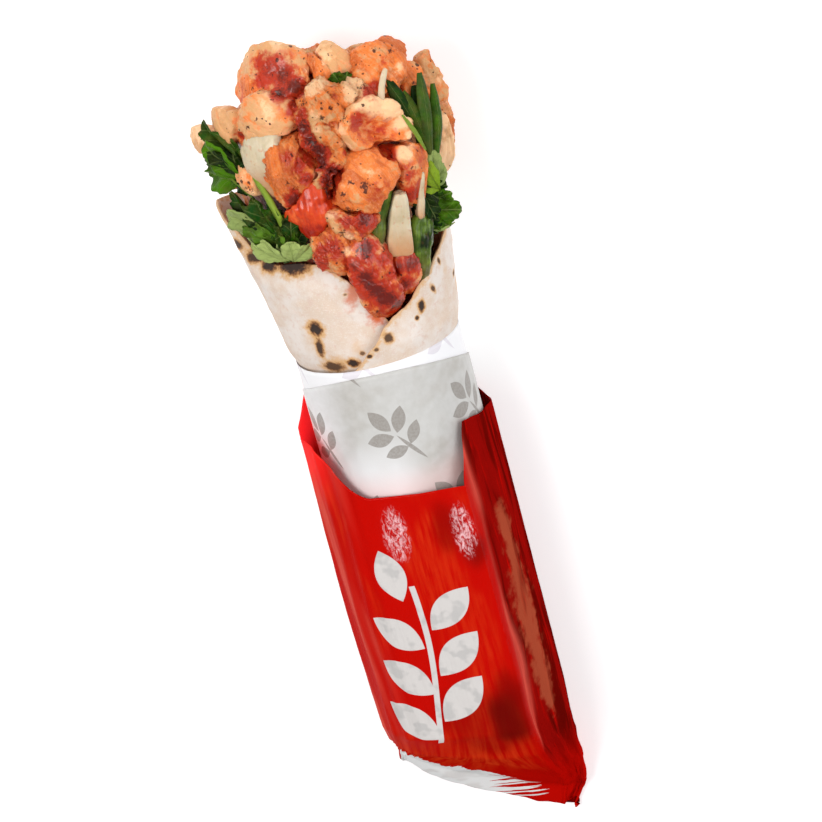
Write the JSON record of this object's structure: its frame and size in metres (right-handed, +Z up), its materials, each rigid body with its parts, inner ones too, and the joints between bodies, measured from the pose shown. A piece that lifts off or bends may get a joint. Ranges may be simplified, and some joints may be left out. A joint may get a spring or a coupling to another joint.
{
  "type": "chicken doner kebab wrap",
  "caption": "Rolled flatbread wrap filled with grilled chicken slices, salad and herbs, in a greaseproof sleeve and an open paper bag, lying on its back.",
  "frame": {"origin": "On the bag's flat back panel, on the table plane, below the axis of the roll and about 104 mm from the closed end.", "axes": "+Y along the roll towards the open, filled end; +Z up, out of the shown side; +X to the right when the open end points away."},
  "size_m": [0.0793, 0.2881, 0.0616],
  "materials": {
    "red_paper": "glossy greaseproof paper, printed red",
    "white_paper": "thin white greaseproof paper, half see-through",
    "flatbread": "floury baked bread, stands in for food",
    "packed_filling": "moist meat in sauce, stands in for food",
    "chicken": "moist grilled meat, stands in for food",
    "sauced_chicken": "meat in a wet red sauce, stands in for food",
    "tomato": "wet cut tomato, stands in for food",
    "onion": "crisp cut onion, stands in for food",
    "green_pepper": "crisp green pepper and chilli, stands in for food",
    "parsley": "fresh leaf, stands in for food"
  },
  "bodies": {
    "root": {"paper_bag": "red_paper", "paper_sleeve": "white_paper", "flatbread": "flatbread", "filling_core": "packed_filling", "crown_left": "chicken", "crown_strip_left": "chicken", "crown_strip_right": "chicken", "crown_pale": "chicken", "crown_right": "chicken", "crown_back": "chicken", "strand_high": "chicken", "strand_low": "chicken", "left_fold": "chicken", "left_small": "chicken", "left_tip": "chicken", "centre_top": "chicken", "centre_fibre": "chicken", "centre_low": "chicken", "curl": "chicken", "chunk_left": "chicken", "chunk_big": "chicken", "right_sauced": "chicken", "saucy_middle": "sauced_chicken", "saucy_low": "sauced_chicken", "saucy_long": "sauced_chicken", "saucy_nub": "sauced_chicken", "left_crumb": "chicken", "tomato": "tomato", "onion_left": "onion", "onion_wedge": "onion", "onion_sliver": "onion", "pepper_middle": "green_pepper", "pepper_right": "green_pepper", "parsley_stems": "parsley", "parsley_right": "parsley", "parsley_left": "parsley", "parsley_low": "parsley", "parsley_lip": "parsley", "right_low": "chicken", "right_under": "chicken", "middle_under": "sauced_chicken", "left_under": "chicken", "left_low": "chicken", "end_under": "chicken", "end_right": "sauced_chicken", "end_left": "chicken", "end_middle": "chicken", "end_outer": "chicken", "end_inner": "sauced_chicken"}
  },
  "joints": []
}
